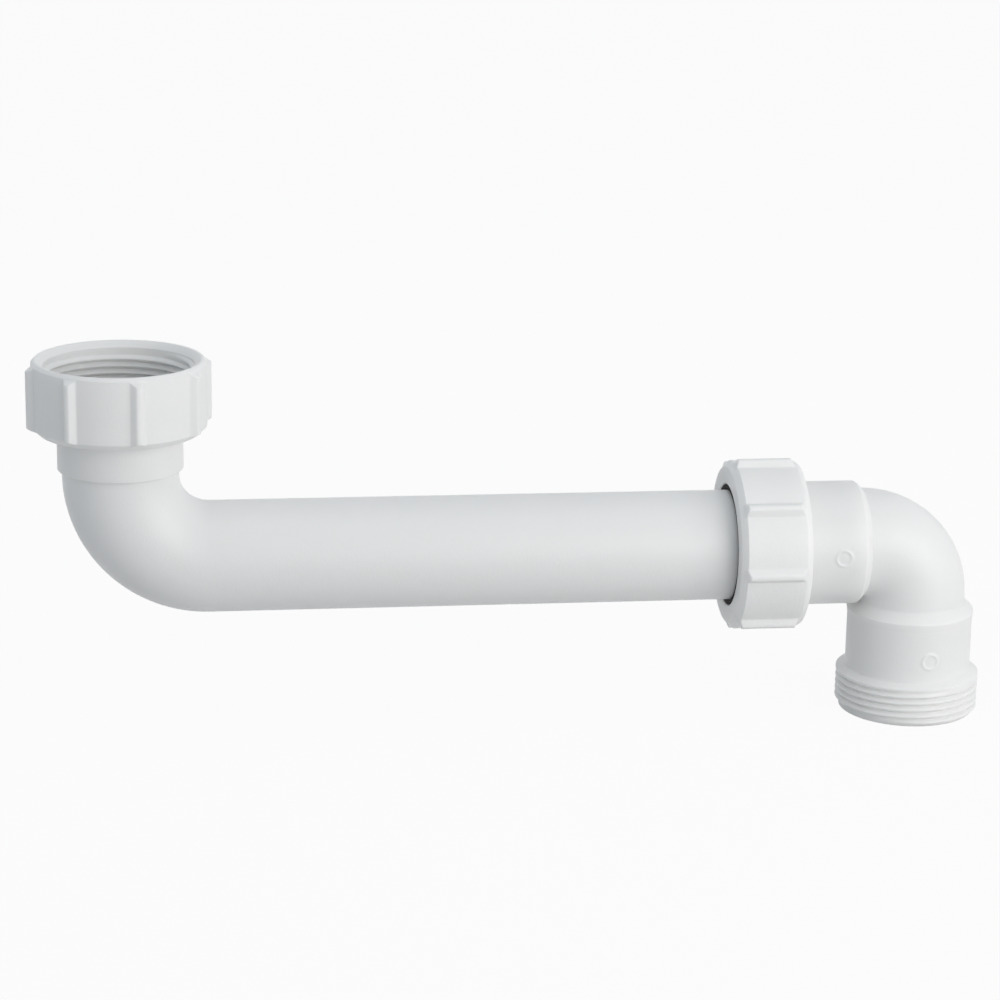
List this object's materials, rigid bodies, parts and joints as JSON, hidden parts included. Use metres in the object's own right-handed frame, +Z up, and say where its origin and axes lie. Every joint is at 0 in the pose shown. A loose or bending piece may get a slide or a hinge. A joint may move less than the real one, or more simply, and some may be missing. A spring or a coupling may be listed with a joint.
{
  "type": "offset waste pipe with compression elbow",
  "caption": "White plastic offset waste pipe from a space-saving trap set: ribbed inlet nut, bent pipe, compression joint and a swivelling threaded outlet elbow",
  "frame": {"origin": "centre of the inlet washer's upper face, on the inlet thread's axis, where a waste's tail seats", "axes": "+Z points up out of the inlet nut, +X runs along the straight pipe to the outlet"},
  "size_m": [0.3171, 0.06, 0.1244],
  "materials": {
    "white_plastic": "moulded satin",
    "black_rubber": "matt moulded",
    "black_plastic": "moulded satin"
  },
  "bodies": {
    "inlet_nut": {"inlet_nut": "white_plastic"},
    "offset_pipe": {"offset_pipe": "white_plastic", "inlet_washer": "black_rubber"},
    "compression_seal": {"compression_seal": "black_rubber"},
    "outlet_elbow": {"outlet_elbow": "white_plastic"},
    "slip_ring": {"slip_ring": "black_plastic"},
    "compression_nut": {"compression_nut": "white_plastic"}
  },
  "joints": [
    {"name": "inlet_swivel", "type": "hinge", "parent": "inlet_nut", "child": "offset_pipe", "pos_m": [0, 0, -0.0077], "axis": [0, 0, 1], "continuous": true},
    {"name": "socket_slide", "type": "slide", "parent": "offset_pipe", "child": "compression_seal", "axis": [1, 0, 0], "range_m": [-0.0035, 0.016]},
    {"name": "elbow_swivel", "type": "hinge", "parent": "compression_seal", "child": "outlet_elbow", "pos_m": [0.2072, 0, -0.0521], "axis": [1, 0, 0], "continuous": true},
    {"name": "nut_advance", "type": "slide", "parent": "outlet_elbow", "child": "slip_ring", "axis": [-1, 0, 0], "range_m": [0, 0.01154]},
    {"name": "nut_turn", "type": "hinge", "parent": "slip_ring", "child": "compression_nut", "pos_m": [0.2072, 0, -0.0521], "axis": [-1, 0, 0], "range_deg": [0, 1800]}
  ],
  "couplings": [
    {"joint": "nut_advance", "follows": "nut_turn", "m_per_rad": 0.00036749}
  ]
}
